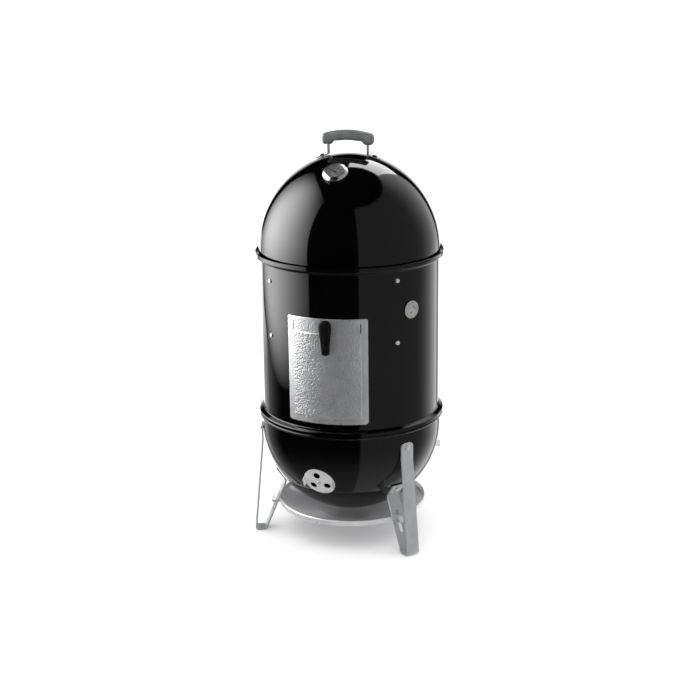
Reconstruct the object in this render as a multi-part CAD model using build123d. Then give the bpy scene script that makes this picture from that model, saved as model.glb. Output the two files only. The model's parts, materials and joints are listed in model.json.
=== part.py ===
from build123d import *
import os
from math import atan2, cos, degrees, radians, sin, sqrt

# A vertical water smoker, in millimetres. +Z is up, the origin is on the ground on the
# smoker's vertical axis, and the fuel door faces -Y. An azimuth is measured from the front
# (-Y) towards +X, in degrees. Heights are above the ground.

# ---- driving dimensions ----
SHEET = 1.2                 # wall of the drum, water pan and charcoal ring
BOWL_SHEET = 1.5            # wall of the charcoal bowl and the lid
FIT = 0.05                  # radial clearance of a shank in its hole
GAP = 0.4                   # clearance between two parts that move against each other

# charcoal bowl: a hemisphere with an upright collar
BOWL_RADIUS = 229.0
BOWL_CENTRE_Z = 292.0
COLLAR_TOP_Z = 335.4
BEAD_RADIUS = 4.0           # rolled bead round the collar
BEAD_PATH_RADIUS = 232.0
BEAD_Z = 321.7

# drum, the middle section
DRUM_RADIUS = 224.8
FLARE_RADIUS = 236.4        # outside of both flared rims
SKIRT_BOTTOM_Z = 326.6
SKIRT_TOP_Z = 333.5
SHOULDER_TOP_Z = 342.0
NECK_Z = 727.0
LIP_BOTTOM_Z = 734.5
LIP_TOP_Z = 745.0

# lid: a spherical crown that runs into steeper sides
DOME_RADIUS = 227.5
DOME_HEIGHT = 241.5
DOME_BASE_Z = 742.0
CROWN_RADIUS = 218.0
LID_EDGE_Z = 731.4

# legs: flat bar bent to a V
LEG_AZIMUTHS = {"front_left": -70.0, "front_right": 51.5, "rear": 170.0}
LEG_WIDTH = 36.0
LEG_THICK = 4.0
LEG_TOP_Z = 292.0
LEG_BOLT_Z = 281.0
LEG_KINK_Z = 250.0
FOOT_OUTER_RADIUS = 256.0
FOOT_INNER_RADIUS = 230.0
FOOT_BEND = 7.0
PAD_TILT = 35.0             # how far below the bowl's equator the upper pad touches it
PAD_ABOVE = 13.0            # the pad reaches this far above its bolt and
PAD_BELOW = 28.0            # this far below it
LEG_BOLT_RADIUS = 3.2

# heat shield: a dished pan under the bowl
SHIELD_RADIUS = 191.0
SHIELD_RIM_TOP_Z = 87.0
SHIELD_RIM_BOTTOM_Z = 75.0
SHIELD_CENTRE_Z = 49.0
SHIELD_TAB_Z = 73.2

# air dampers
BOWL_DAMPER_AZIMUTHS = {"front": -8.0, "right": 112.0, "left": 232.0}
BOWL_DAMPER_TURNS = {"front": 0.0, "right": 120.0, "left": 0.0}
BOWL_DAMPER_TILT = 25.6     # below the bowl's equator
BOWL_DAMPER_RADIUS = 41.0
DAMPER_SHEET = 1.2
VENT_RADIUS = 8.8
VENT_PATH_RADIUS = 22.0
VENT_START = 96.0
DAMPER_TAB_LENGTH = 24.0
DAMPER_TAB_HEIGHT = 13.0
RIVET_RADIUS = 2.4
LID_DAMPER_AZIMUTH = 180.0
LID_DAMPER_PATH_RADIUS = 120.0
LID_DAMPER_RADIUS = 38.0

# fuel bed
CHARCOAL_GRATE_RADIUS = 215.5
CHARCOAL_GRATE_Z = 237.0
LUG_AZIMUTHS = (-10.0, 110.0, 230.0)
LUG_REACH = 14.0
FUEL_RING_RADIUS = 196.0
FUEL_RING_HEIGHT = 96.0
FUEL_RING_HOLE_RADIUS = 9.0
FUEL_RING_HOLES = 18
FUEL_RING_ROWS = 3

# grate straps inside the drum
STRAP_WIDTH = 20.0
STRAP_THICK = 2.0
STRAP_UPPER_BOLT_Z = {
    "front_left": 690.0,
    "front_right": 706.0,
    "rear_right": 698.0,
    "rear_left": 698.0,
}
STRAP_AZIMUTHS = {"front_left": -44.5, "front_right": 45.7, "rear_right": 135.0, "rear_left": -135.0}
STRAP_LOWER_BOLT_Z = 552.0
STRAP_TOP_Z = 716.0
UPPER_LEDGE_Z = 676.0
LOWER_LEDGE_Z = 530.0
PAN_LEDGE_Z = 500.0
GRATE_LEDGE_REACH = 18.0
PAN_LEDGE_REACH = 10.5
STRAP_BOLT_RADIUS = 2.5

# cooking grates and water pan
GRATE_RIM_RADIUS = 3.0
GRATE_ROD_RADIUS = 2.0
CROSS_ROD_RADIUS = 2.5
GRATE_PITCH = 14.5
UPPER_GRATE_RADIUS = 213.4
LOWER_GRATE_RADIUS = 212.0
PAN_RIM_RADIUS = 216.0
PAN_BOTTOM_RADIUS = 150.0
PAN_DEPTH = 136.0
PAN_ROLL = 3.0

# fuel door and its latch
DOOR_WIDTH = 200.0
DOOR_BOTTOM_Z = 355.0
DOOR_TOP_Z = 620.0
DOOR_INNER_RADIUS = 225.6
DOOR_SHEET = 1.4
DOOR_RAISE = 2.4            # the embossed middle panel stands this far out of the border
DOOR_BORDER = 16.0
DOOR_TOP_BAND = 36.0
DOOR_CORNER = 8.0
OPENING_WIDTH = 180.0
OPENING_BOTTOM_Z = 366.0
OPENING_TOP_Z = 604.0
HOOK_X = 45.0
HOOK_WIDTH = 20.0
HOOK_REACH = 15.0
HOOK_THICK = 2.0
LATCH_AZIMUTH = 1.0
LATCH_Z = 595.0
LATCH_SPINDLE_RADIUS = 4.0
LATCH_UP = 25.0
LATCH_DOWN = 62.0
LATCH_TOP_WIDTH = 31.5
LATCH_FOOT_WIDTH = 20.0
LATCH_STAND_OFF = 8.0
LATCH_BOSS_RADIUS = 9.8
LATCH_THICK = 15.0
TONGUE_LENGTH = 26.0
TONGUE_WIDTH = 12.0

# silicone grommet for probe cables
GROMMET_AZIMUTH = 56.2
GROMMET_Z = 629.0
GROMMET_HOLE_RADIUS = 17.0
GROMMET_FLANGE_RADIUS = 21.8
PROBE_HOLE_RADIUS = 2.5
PROBE_HOLE_CENTRE = (-5.5, -6.0)
SLIT_CENTRE = (5.0, 6.0)
SLIT_TURN = -48.0

# lid handle
STRAP_HALF_SPAN = 50.0
HANDLE_STRAP_WIDTH = 16.0
HANDLE_STRAP_THICK = 3.0
HANDLE_BAR_Z = 1021.5
HANDLE_FOOT_X = 66.0
HANDLE_FOOT_LENGTH = 26.0
GRIP_HALF_LENGTH = 65.0
GRIP_TOP_Z = 1041.0
GRIP_END_TOP_Z = 1031.5
GRIP_BOTTOM_Z = 1014.5
GRIP_END_BOTTOM_Z = 1006.0
GRIP_DEPTH = 28.0

# thermometer in the lid
THERMOMETER_PATH_RADIUS = 116.0
BEZEL_RADIUS = 31.0
DIAL_RADIUS = 23.0
BEZEL_HEIGHT = 11.5
PROBE_LENGTH = 62.0


# ---- helpers ----
def wall_frame(azimuth, radius, height, pitch=0.0):
    """A frame on the smoker's side: x to the right, y up the wall, z straight out of it."""
    a, p = radians(azimuth), radians(pitch)
    origin = (radius * sin(a), -radius * cos(a), height)
    normal = (sin(a) * cos(p), -cos(a) * cos(p), sin(p))
    return Plane(origin=origin, x_dir=(cos(a), sin(a), 0), z_dir=normal).location


def bowl_frame(azimuth, tilt, radius=BOWL_RADIUS):
    """A frame on the bowl's sphere, tilt degrees below its equator."""
    t = radians(tilt)
    return wall_frame(azimuth, radius * cos(t), BOWL_CENTRE_Z - radius * sin(t), -tilt)


def dome_frame(azimuth, path_radius):
    """A frame on the lid's crown, path_radius from the vertical axis."""
    rise = sqrt(CROWN_RADIUS**2 - path_radius**2)
    height = DOME_BASE_Z + DOME_HEIGHT - CROWN_RADIUS + rise
    return wall_frame(azimuth, path_radius, height, degrees(atan2(rise, path_radius)))


def turned(path, thickness):
    """A sheet-metal solid of revolution: the section's path, given a thickness."""
    section = make_face(offset(path, amount=thickness / 2, side=Side.BOTH))
    return revolve(Plane.XZ * section, Axis.Z)


def radial_bar(path, thickness, width, azimuth):
    """Flat bar bent along a path of (radius, height) points, standing at an azimuth."""
    section = make_face(offset(path, amount=thickness / 2, side=Side.BOTH))
    bar = extrude(Plane.XZ * section, amount=width / 2, both=True)
    return Rot(0, 0, azimuth - 90) * bar


def ring(outer, inner, height):
    """A flat ring standing on z = 0."""
    whole = Cylinder(outer, height, align=(Align.CENTER, Align.CENTER, Align.MIN))
    bore = Cylinder(inner, height, align=(Align.CENTER, Align.CENTER, Align.MIN))
    return whole - bore


def rod(radius, bottom, top):
    """A cylinder on the Z axis between two heights."""
    return Pos(0, 0, bottom) * Cylinder(radius, top - bottom, align=(Align.CENTER, Align.CENTER, Align.MIN))


def domed_head(radius, height, bottom=0.0):
    """A low round bolt head on z = bottom."""
    head = rod(radius, bottom, bottom + height)
    return fillet(head.edges().group_by(Axis.Z)[-1], height * 0.7)


def hex_nut(across_flats, height, bore, top=0.0):
    """A hexagon nut whose upper face is at z = top."""
    blank = extrude(RegularPolygon(across_flats / 2, 6, major_radius=False), amount=height)
    nut = blank - rod(bore, 0, height)
    return Pos(0, 0, top - height) * nut


def vent_points(path_radius=VENT_PATH_RADIUS, start=VENT_START):
    """Centres of a damper's three vent holes."""
    turns = (start, start + 120, start + 240)
    return [(path_radius * cos(radians(t)), path_radius * sin(radians(t))) for t in turns]


def vent_cutters(length):
    """Drills for the three vents and the pivot rivet."""
    drills = [Pos(x, y, 0) * Cylinder(VENT_RADIUS, length) for x, y in vent_points()]
    return drills + [Cylinder(RIVET_RADIUS + FIT, length)]


def wire_grate(radius, pitch, cross_offsets):
    """A round wire grate with its rim and rods centred on z = 0 and two cross rods below."""
    grate = Torus(radius - GRATE_RIM_RADIUS, GRATE_RIM_RADIUS)
    path = radius - GRATE_RIM_RADIUS
    count = int((path - pitch / 3) // pitch)
    rods = []
    for step in range(-count, count + 1):
        half = sqrt(path**2 - (step * pitch) ** 2)
        rods.append(Pos(step * pitch, 0, 0) * Rot(90, 0, 0) * Cylinder(GRATE_ROD_RADIUS, 2 * half))
    drop = GRATE_ROD_RADIUS + CROSS_ROD_RADIUS - 0.8
    for offset_y in cross_offsets:
        half = sqrt(path**2 - offset_y**2)
        rods.append(Pos(0, offset_y, -drop) * Rot(0, 90, 0) * Cylinder(CROSS_ROD_RADIUS, 2 * half))
    return grate.fuse(*rods)


# ---- base: bowl, legs, heat shield ----
def leg_pad_frame(azimuth):
    return bowl_frame(azimuth, PAD_TILT)


def charcoal_bowl():
    outer_arc = CenterArc((0, BOWL_CENTRE_Z), BOWL_RADIUS, 0, -90)
    inner_radius = BOWL_RADIUS - BOWL_SHEET
    inner_arc = CenterArc((0, BOWL_CENTRE_Z), inner_radius, -90, 90)
    floor = Line(outer_arc @ 1, inner_arc @ 0)
    inner_wall = Line(inner_arc @ 1, (inner_radius, COLLAR_TOP_Z))
    rim = Line((inner_radius, COLLAR_TOP_Z), (BOWL_RADIUS, COLLAR_TOP_Z))
    outer_wall = Line((BOWL_RADIUS, COLLAR_TOP_Z), outer_arc @ 0)
    section = make_face([outer_arc, floor, inner_arc, inner_wall, rim, outer_wall])
    bowl = revolve(Plane.XZ * section, Axis.Z)
    bead = Pos(0, 0, BEAD_Z) * Torus(BEAD_PATH_RADIUS, BEAD_RADIUS)
    inside = Pos(0, 0, BEAD_Z) * Cylinder(BOWL_RADIUS - 0.5, 3 * BEAD_RADIUS)
    bowl = bowl + (bead - inside)
    lug_top = CHARCOAL_GRATE_Z - GRATE_RIM_RADIUS - GAP
    lug_end = sqrt((BOWL_RADIUS - BOWL_SHEET / 2) ** 2 - (BOWL_CENTRE_Z - lug_top + 4) ** 2)
    lug = Box(22, 4, LUG_REACH, align=(Align.CENTER, Align.MAX, Align.MAX))
    for azimuth in LUG_AZIMUTHS:
        bowl = bowl + wall_frame(azimuth, lug_end, lug_top) * lug
    drills = []
    for azimuth in BOWL_DAMPER_AZIMUTHS.values():
        drills += [bowl_frame(azimuth, BOWL_DAMPER_TILT) * cutter for cutter in vent_cutters(30)]
    for azimuth in LEG_AZIMUTHS.values():
        drills.append(wall_frame(azimuth, BOWL_RADIUS, LEG_BOLT_Z) * Cylinder(LEG_BOLT_RADIUS + FIT, 30))
        drills.append(leg_pad_frame(azimuth) * Cylinder(LEG_BOLT_RADIUS + FIT, 30))
    return bowl.cut(*drills)


def leg(azimuth):
    """Flat bar: an upright strip, a flat foot, an inner strut and a pad against the bowl."""
    t = radians(PAD_TILT)
    pad_radius = BOWL_RADIUS + LEG_THICK / 2 + 0.1
    touch = (pad_radius * cos(t), BOWL_CENTRE_Z - pad_radius * sin(t))
    pad_top = (touch[0] + PAD_ABOVE * sin(t), touch[1] + PAD_ABOVE * cos(t))
    knee = (touch[0] - PAD_BELOW * sin(t), touch[1] - PAD_BELOW * cos(t))
    upright = BOWL_RADIUS + LEG_THICK / 2 + GAP
    foot_z = LEG_THICK / 2
    corners = [
        (upright, LEG_TOP_Z),
        (upright, LEG_KINK_Z),
        (FOOT_OUTER_RADIUS, foot_z),
        (FOOT_INNER_RADIUS, foot_z),
        knee,
        pad_top,
    ]
    path = FilletPolyline(*corners, radius=[40, FOOT_BEND, FOOT_BEND, 9])
    bar = radial_bar(path, LEG_THICK, LEG_WIDTH, azimuth)
    strut_pitch = degrees(atan2(FOOT_INNER_RADIUS - knee[0], knee[1] - foot_z))
    middle = ((FOOT_INNER_RADIUS + knee[0]) / 2 + 1.5, (foot_z + knee[1]) / 2)
    slot = extrude(Rot(0, 0, 90) * SlotOverall(58, 12), amount=12, both=True)
    bolt_hole = Cylinder(LEG_BOLT_RADIUS + FIT, 30)
    return bar.cut(
        wall_frame(azimuth, middle[0], middle[1] + 6, strut_pitch) * slot,
        wall_frame(azimuth, upright, LEG_BOLT_Z) * bolt_hole,
        leg_pad_frame(azimuth) * bolt_hole,
        *[corner_cut(azimuth, upright, side) for side in (-1, 1)],
    )


def corner_cut(azimuth, radius, side):
    """Rounds one top corner of a leg's upright strip."""
    size = 9.0
    block = Pos(side * (LEG_WIDTH / 2), 0, 0) * Box(2 * size, 2 * size, 12)
    block = block - Pos(side * (LEG_WIDTH / 2 - size), -size, 0) * Cylinder(size, 12)
    return wall_frame(azimuth, radius, LEG_TOP_Z) * block


def bolt(head_radius, head_height, shank_radius, shank_length):
    """A round-headed bolt: the head's underside is on z = 0 and the shank points to -z."""
    return domed_head(head_radius, head_height) + rod(shank_radius, -shank_length, 0.1)


def leg_upper_bolts():
    seat = LEG_THICK + 2 * GAP
    one = Pos(0, 0, seat) * bolt(6.5, 3.6, LEG_BOLT_RADIUS, seat + 12)
    return [wall_frame(a, BOWL_RADIUS, LEG_BOLT_Z) * one for a in LEG_AZIMUTHS.values()]


def leg_lower_bolts():
    seat = LEG_THICK + 0.2
    one = Pos(0, 0, seat) * bolt(6.0, 3.4, LEG_BOLT_RADIUS, seat + 12)
    return [leg_pad_frame(a) * one for a in LEG_AZIMUTHS.values()]


def leg_nuts():
    nut = hex_nut(11, 5, LEG_BOLT_RADIUS + FIT, top=-BOWL_SHEET - 1.0)
    upper = [wall_frame(a, BOWL_RADIUS, LEG_BOLT_Z) * nut for a in LEG_AZIMUTHS.values()]
    return upper + [leg_pad_frame(a) * nut for a in LEG_AZIMUTHS.values()]


def heat_shield():
    sheet = SHEET
    rim = SHIELD_RADIUS - sheet / 2
    inner_rim = rim - 3.4
    top = SHIELD_RIM_TOP_Z - sheet / 2
    centre = SHIELD_CENTRE_Z
    corners = [(0, centre), (90, centre + 2), (150, centre + 12), (inner_rim, 77.4)]
    corners += [(inner_rim, top), (rim, top), (rim, SHIELD_RIM_BOTTOM_Z)]
    path = FilletPolyline(*corners, radius=[60, 60, 3, 1.2, 1.2])
    section = make_face(offset(path, amount=sheet / 2, side=Side.BOTH)) & Pos(200, 0) * Rectangle(400, 400)
    return revolve(Plane.XZ * section, Axis.Z)


def shield_tabs():
    """Tabs welded under the shield's rim, which pass through the legs' slots and turn up."""
    corners = [(188.4, SHIELD_TAB_Z), (212.5, SHIELD_TAB_Z), (206.5, SHIELD_TAB_Z + 16)]
    path = FilletPolyline(*corners, radius=3)
    return [radial_bar(path, 2.0, 10.0, a) for a in LEG_AZIMUTHS.values()]


# ---- dampers ----
def curved_disc(radius, base, rise):
    """A disc that follows a sphere of the given base radius, whose centre is below z = 0."""
    shell = Sphere(base + rise + DAMPER_SHEET) - Sphere(base + rise)
    return Pos(0, 0, -base) * shell & rod(radius, -radius / 2, radius)


def damper(radius, base, rise):
    """A vent damper: a curved disc with three vents and two finger tabs."""
    disc = curved_disc(radius, base, rise)
    drop = base - sqrt(base**2 - radius**2)
    for side in (-1, 1):
        tab = Pos(0, 0, DAMPER_TAB_HEIGHT / 2) * Box(DAMPER_SHEET, DAMPER_TAB_LENGTH, DAMPER_TAB_HEIGHT)
        tab = fillet(tab.edges().filter_by(Axis.X).group_by(Axis.Z)[-1], 4)
        inset = sqrt(radius**2 - (DAMPER_TAB_LENGTH / 2) ** 2) - DAMPER_SHEET / 2
        disc = disc + Pos(side * inset, 0, rise - drop + 0.8) * tab
    return disc.cut(*vent_cutters(60))


def bowl_damper(name):
    turned_damper = Rot(0, 0, BOWL_DAMPER_TURNS[name]) * damper(BOWL_DAMPER_RADIUS, BOWL_RADIUS, GAP)
    return bowl_frame(BOWL_DAMPER_AZIMUTHS[name], BOWL_DAMPER_TILT) * turned_damper


def rivet(rise, sheet):
    """A pivot rivet: a shank through both sheets with a head above and below."""
    above = rise + DAMPER_SHEET + GAP
    below = -sheet - 0.6
    shank = rod(RIVET_RADIUS, below - 0.1, above + 0.1)
    return shank + domed_head(5.5, 2.0, above) + rod(5.0, below - 1.6, below)


def bowl_damper_rivets():
    pivot = rivet(GAP, BOWL_SHEET)
    return [bowl_frame(a, BOWL_DAMPER_TILT) * pivot for a in BOWL_DAMPER_AZIMUTHS.values()]


def lid_damper():
    frame = dome_frame(LID_DAMPER_AZIMUTH, LID_DAMPER_PATH_RADIUS)
    return frame * damper(LID_DAMPER_RADIUS, CROWN_RADIUS, 2 * GAP)


def lid_damper_rivet():
    return [dome_frame(LID_DAMPER_AZIMUTH, LID_DAMPER_PATH_RADIUS) * rivet(2 * GAP, BOWL_SHEET)]


# ---- fuel bed ----
def charcoal_grate():
    return Pos(0, 0, CHARCOAL_GRATE_Z) * wire_grate(CHARCOAL_GRATE_RADIUS, 19.0, (-45, 45))


def fuel_ring_bottom():
    return CHARCOAL_GRATE_Z + GRATE_RIM_RADIUS + 2 * GAP


def charcoal_ring():
    wall = Pos(0, 0, fuel_ring_bottom()) * ring(FUEL_RING_RADIUS, FUEL_RING_RADIUS - SHEET, FUEL_RING_HEIGHT)
    drills = []
    for row in range(FUEL_RING_ROWS):
        height = fuel_ring_bottom() + FUEL_RING_HEIGHT * (row + 0.5) / FUEL_RING_ROWS
        for step in range(FUEL_RING_HOLES):
            azimuth = (step + 0.5 * (row % 2)) * 360 / FUEL_RING_HOLES
            drills.append(wall_frame(azimuth, FUEL_RING_RADIUS, height) * Cylinder(FUEL_RING_HOLE_RADIUS, 20))
    return wall.cut(*drills)


# ---- drum ----
def middle_section():
    half = SHEET / 2
    wall, flare = DRUM_RADIUS - half, FLARE_RADIUS - half
    corners = [
        (flare, SKIRT_BOTTOM_Z),
        (flare, SKIRT_TOP_Z),
        (wall, SHOULDER_TOP_Z - 3),
        (wall, NECK_Z + 1),
        (flare, LIP_BOTTOM_Z),
        (flare, LIP_TOP_Z),
    ]
    drum = turned(FilletPolyline(*corners, radius=[2.5, 3, 3, 2.5]), SHEET)
    opening = Box(OPENING_WIDTH, 100, OPENING_TOP_Z - OPENING_BOTTOM_Z)
    opening = fillet(opening.edges().filter_by(Axis.Y), 6)
    middle_z = (OPENING_TOP_Z + OPENING_BOTTOM_Z) / 2
    cutters = [Pos(0, -DRUM_RADIUS, middle_z) * opening]
    cutters.append(wall_frame(GROMMET_AZIMUTH, DRUM_RADIUS, GROMMET_Z) * Cylinder(GROMMET_HOLE_RADIUS, 30))
    for azimuth, bolt_z in strap_bolt_places():
        cutters.append(wall_frame(azimuth, DRUM_RADIUS, bolt_z) * Cylinder(STRAP_BOLT_RADIUS + FIT, 20))
    return drum.cut(*cutters)


def strap_bolt_places():
    places = []
    for name, azimuth in STRAP_AZIMUTHS.items():
        places += [(azimuth, STRAP_UPPER_BOLT_Z[name]), (azimuth, STRAP_LOWER_BOLT_Z)]
    return places


def grate_strap(name):
    """An upright strap with a ledge for each grate and a short one for the water pan."""
    azimuth = STRAP_AZIMUTHS[name]
    back = DRUM_RADIUS - SHEET - 1.2
    foot_z = PAN_LEDGE_Z - STRAP_THICK
    length = STRAP_TOP_Z - foot_z
    strap = Pos(0, length / 2, -STRAP_THICK / 2) * Box(STRAP_WIDTH, length, STRAP_THICK)
    ledges = [
        (PAN_LEDGE_Z, PAN_LEDGE_REACH),
        (LOWER_LEDGE_Z, GRATE_LEDGE_REACH),
        (UPPER_LEDGE_Z, GRATE_LEDGE_REACH),
    ]
    for ledge_z, reach in ledges:
        ledge = Box(STRAP_WIDTH, STRAP_THICK, reach, align=(Align.CENTER, Align.MAX, Align.MAX))
        strap = strap + Pos(0, ledge_z - foot_z, -STRAP_THICK / 2) * ledge
    strap = wall_frame(azimuth, back, foot_z) * strap
    drills = [
        wall_frame(azimuth, back, z) * Cylinder(STRAP_BOLT_RADIUS + FIT, 12)
        for z in (STRAP_UPPER_BOLT_Z[name], STRAP_LOWER_BOLT_Z)
    ]
    return strap.cut(*drills)


def strap_bolts():
    one = Pos(0, 0, 0.2) * bolt(5.5, 3.2, STRAP_BOLT_RADIUS, 11)
    return [wall_frame(a, DRUM_RADIUS, z) * one for a, z in strap_bolt_places()]


def strap_nuts():
    nut = hex_nut(8, 4, STRAP_BOLT_RADIUS + FIT, top=-SHEET - 1.4 - STRAP_THICK)
    return [wall_frame(a, DRUM_RADIUS, z) * nut for a, z in strap_bolt_places()]


def temperature_grommet():
    """Stepped silicone plug with a probe hole and a slit, held by its inner flange."""
    plug = rod(GROMMET_FLANGE_RADIUS, 1.3, 4.2) + rod(GROMMET_FLANGE_RADIUS - 5, 4.1, 6.2)
    plug = plug + rod(GROMMET_HOLE_RADIUS - FIT, -5.5, 1.5) + rod(GROMMET_FLANGE_RADIUS - 1.5, -8.0, -2.6)
    edges = plug.edges().filter_by(GeomType.CIRCLE).group_by(Axis.Z)[-1]
    slit = Pos(*SLIT_CENTRE, 3.2) * Rot(0, 0, SLIT_TURN) * extrude(SlotOverall(14, 2.2), amount=5)
    plug = fillet(edges, 1.2) - slit - Pos(*PROBE_HOLE_CENTRE) * Cylinder(PROBE_HOLE_RADIUS, 60)
    return wall_frame(GROMMET_AZIMUTH, DRUM_RADIUS, GROMMET_Z) * plug


# ---- water pan and cooking grates ----
def water_pan():
    half = SHEET / 2
    rim_z = PAN_LEDGE_Z + PAN_ROLL + GAP
    rim = PAN_RIM_RADIUS - 2 * PAN_ROLL
    floor_z = rim_z - PAN_DEPTH
    corners = [(0, floor_z), (PAN_BOTTOM_RADIUS, floor_z), (rim - 8, rim_z - 22), (rim, rim_z + 1)]
    path = FilletPolyline(*corners, radius=[38, 30])
    section = make_face(offset(path, amount=half, side=Side.BOTH)) & Pos(200, rim_z) * Rectangle(400, 900)
    pan = revolve(Plane.XZ * section, Axis.Z)
    return pan + Pos(0, 0, rim_z) * Torus(PAN_RIM_RADIUS - PAN_ROLL, PAN_ROLL)


def lower_cooking_grate():
    height = LOWER_LEDGE_Z + GRATE_RIM_RADIUS + GAP
    return Pos(0, 0, height) * wire_grate(LOWER_GRATE_RADIUS, GRATE_PITCH, (-70, 70))


def upper_cooking_grate():
    """The upper grate also has two bent wire handles on its rim."""
    height = UPPER_LEDGE_Z + GRATE_RIM_RADIUS + GAP
    grate = wire_grate(UPPER_GRATE_RADIUS, GRATE_PITCH, (-72, 72))
    for side in (-1, 1):
        foot_x, top_x = side * (UPPER_GRATE_RADIUS - 14), side * (UPPER_GRATE_RADIUS - 20)
        corners = [(foot_x, -45, 0), (top_x, -38, 24), (top_x, 38, 24), (foot_x, 45, 0)]
        route = FilletPolyline(*corners, radius=9)
        handle = sweep(Plane(origin=route @ 0, z_dir=route % 0) * Circle(CROSS_ROD_RADIUS), path=route)
        grate = grate + handle
    return Pos(0, 0, height) * grate


# ---- fuel door ----
def door_sheet(inner, outer, prism):
    tall = DOOR_TOP_Z - DOOR_BOTTOM_Z + 20
    return (Pos(0, 0, DOOR_BOTTOM_Z - 10) * ring(outer, inner, tall)) & prism


def door_prism(width, bottom, top, corner):
    block = Box(width, 120, top - bottom)
    block = fillet(block.edges().filter_by(Axis.Y), corner)
    return Pos(0, -DRUM_RADIUS, (top + bottom) / 2) * block


def access_door():
    """A curved panel with a raised middle, and two hooks that hang in the drum's opening."""
    outer = DOOR_INNER_RADIUS + DOOR_SHEET
    whole = door_prism(DOOR_WIDTH, DOOR_BOTTOM_Z, DOOR_TOP_Z, DOOR_CORNER)
    panel = door_sheet(DOOR_INNER_RADIUS, outer, whole)
    left, bottom, top = DOOR_WIDTH - 2 * DOOR_BORDER, DOOR_BOTTOM_Z + DOOR_BORDER, DOOR_TOP_Z - DOOR_TOP_BAND
    raised = door_sheet(outer - 0.7, outer + DOOR_RAISE, door_prism(left, bottom, top, 5))
    wall = DOOR_SHEET
    hollow = door_prism(left - 2 * wall, bottom + wall, top - wall, 4)
    dish = door_sheet(DOOR_INNER_RADIUS - 5, outer + DOOR_RAISE - wall, hollow)
    door = panel + raised - dish
    hook_z = OPENING_BOTTOM_Z + 1.5
    for side in (-1, 1):
        x = side * HOOK_X
        front_y = -sqrt(DOOR_INNER_RADIUS**2 - x**2) - 0.5
        back_y = front_y + HOOK_REACH + 4
        bridge = Box(HOOK_WIDTH, back_y - front_y, HOOK_THICK)
        drop = Box(HOOK_WIDTH, HOOK_THICK, 11)
        door = door + Pos(x, (front_y + back_y) / 2, hook_z + HOOK_THICK / 2) * bridge
        door = door + Pos(x, back_y - HOOK_THICK / 2, hook_z + HOOK_THICK - 5.5) * drop
    outside = Pos(0, 0, 400) * (Cylinder(260, 600) - Cylinder(outer + DOOR_RAISE, 600))
    spindle_hole = latch_frame() * Cylinder(LATCH_SPINDLE_RADIUS + FIT, 30)
    slits = []
    for side in (-1, 1):
        azimuth = side * 21.7
        slits.append(wall_frame(azimuth, DRUM_RADIUS, 597) * Box(2.0, 24, 20))
    return door.cut(outside, spindle_hole, *slits)


def latch_frame():
    return wall_frame(LATCH_AZIMUTH, DOOR_INNER_RADIUS + DOOR_SHEET + GAP, LATCH_Z)


def door_latch_handle():
    """A moulded lever, wide at the top and narrow at the foot, on a round boss."""
    half_top, half_foot = LATCH_TOP_WIDTH / 2, LATCH_FOOT_WIDTH / 2
    outline = make_face(
        [
            ThreePointArc((-half_top, LATCH_UP - 11), (0, LATCH_UP), (half_top, LATCH_UP - 11)),
            Line((half_top, LATCH_UP - 11), (half_foot, 8 - LATCH_DOWN)),
            ThreePointArc((half_foot, 8 - LATCH_DOWN), (0, -LATCH_DOWN), (-half_foot, 8 - LATCH_DOWN)),
            Line((-half_foot, 8 - LATCH_DOWN), (-half_top, LATCH_UP - 11)),
        ]
    )
    lever = Pos(0, 0, LATCH_STAND_OFF) * extrude(outline, amount=LATCH_THICK)
    lever = fillet(lever.faces().group_by(Axis.Z)[-1].edges(), 5)
    handle = lever + rod(LATCH_BOSS_RADIUS, 0, LATCH_STAND_OFF + 1)
    return latch_frame() * (handle - rod(LATCH_SPINDLE_RADIUS, -1, 10))


def latch_spindle():
    """The turned pin that the lever and the tongue are fixed to."""
    return latch_frame() * rod(LATCH_SPINDLE_RADIUS, -13.0, 10)


def latch_tongue():
    """The catch plate: beside the spindle when the lever hangs, above it when turned."""
    shift = TONGUE_LENGTH / 2 - TONGUE_WIDTH / 2
    plate = extrude(Pos(shift, 0) * SlotOverall(TONGUE_LENGTH, TONGUE_WIDTH), amount=2)
    plate = plate - rod(LATCH_SPINDLE_RADIUS, -1, 4)
    return latch_frame() * Pos(0, 0, -8.6) * plate


def latch_nut():
    return latch_frame() * hex_nut(12, 3.6, LATCH_SPINDLE_RADIUS, top=-8.7)


# ---- lid ----
def lid():
    crown_z = DOME_HEIGHT - CROWN_RADIUS
    numerator = DOME_RADIUS**2 + crown_z**2 - CROWN_RADIUS**2
    side_radius = numerator / (2 * (DOME_RADIUS - CROWN_RADIUS))
    side_x = DOME_RADIUS - side_radius
    join = degrees(atan2(crown_z, -side_x))

    def dome_side(inset):
        sides = CenterArc((side_x, DOME_BASE_Z), side_radius - inset, 0, join)
        crown = CenterArc((0, DOME_BASE_Z + crown_z), CROWN_RADIUS - inset, join, 90 - join)
        return [sides, crown]

    outer, inner = dome_side(0), dome_side(BOWL_SHEET)
    edge_out, edge_in = (DOME_RADIUS, LID_EDGE_Z), (DOME_RADIUS - BOWL_SHEET, LID_EDGE_Z)
    closing = [
        Line(outer[1] @ 1, inner[1] @ 1),
        Line(inner[0] @ 0, edge_in),
        Line(edge_in, edge_out),
        Line(edge_out, outer[0] @ 0),
    ]
    dome = revolve(Plane.XZ * make_face(outer + inner + closing), Axis.Z)
    damper_frame = dome_frame(LID_DAMPER_AZIMUTH, LID_DAMPER_PATH_RADIUS)
    drills = [damper_frame * cutter for cutter in vent_cutters(30)]
    drills.append(dome_frame(0, THERMOMETER_PATH_RADIUS) * Cylinder(4.2, 30))
    drills += [handle_foot_frame(side) * Cylinder(LEG_BOLT_RADIUS + FIT, 30) for side in (-1, 1)]
    return dome.cut(*drills)


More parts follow.
